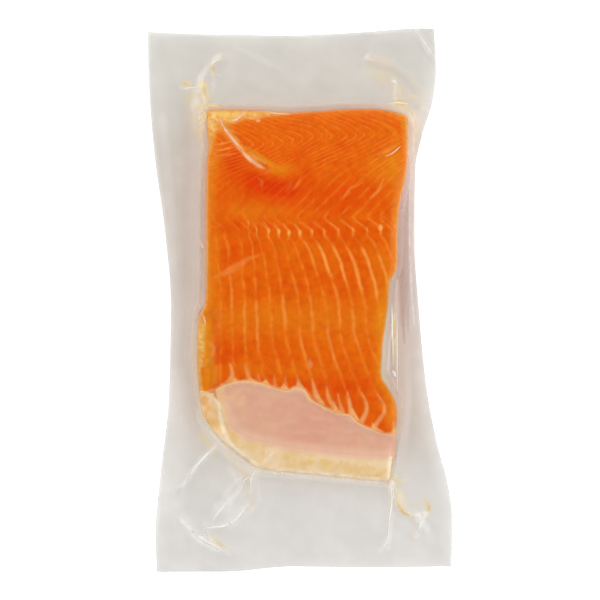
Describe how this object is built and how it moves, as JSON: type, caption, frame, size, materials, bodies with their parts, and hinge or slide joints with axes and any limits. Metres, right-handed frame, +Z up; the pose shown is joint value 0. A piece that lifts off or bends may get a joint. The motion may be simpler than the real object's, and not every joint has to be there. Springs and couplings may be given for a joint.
{
  "type": "vacuum pack of salmon fillet",
  "caption": "Flat clear vacuum pouch holding one salmon fillet portion, thick at the back edge and thin at the belly.",
  "frame": {"origin": "on the surface that the pack lies on, under the middle of its outline", "axes": "+X across the pouch to the right, +Y along it towards the fillet's thick back edge, +Z up out of the shown side"},
  "size_m": [0.1648, 0.2944, 0.027],
  "materials": {
    "salmon_flesh": "moist orange flesh with pale muscle lines, seen through glossy film",
    "belly_lining": "smooth pale pink membrane",
    "belly_fat": "waxy cream fat with faint yellow blotches",
    "film": "clear glossy pouch film, creased round the fillet",
    "juice": "thin yellow juice caught in the folds of the film"
  },
  "bodies": {
    "root": {"sealed_pack": "salmon_flesh"}
  },
  "joints": []
}
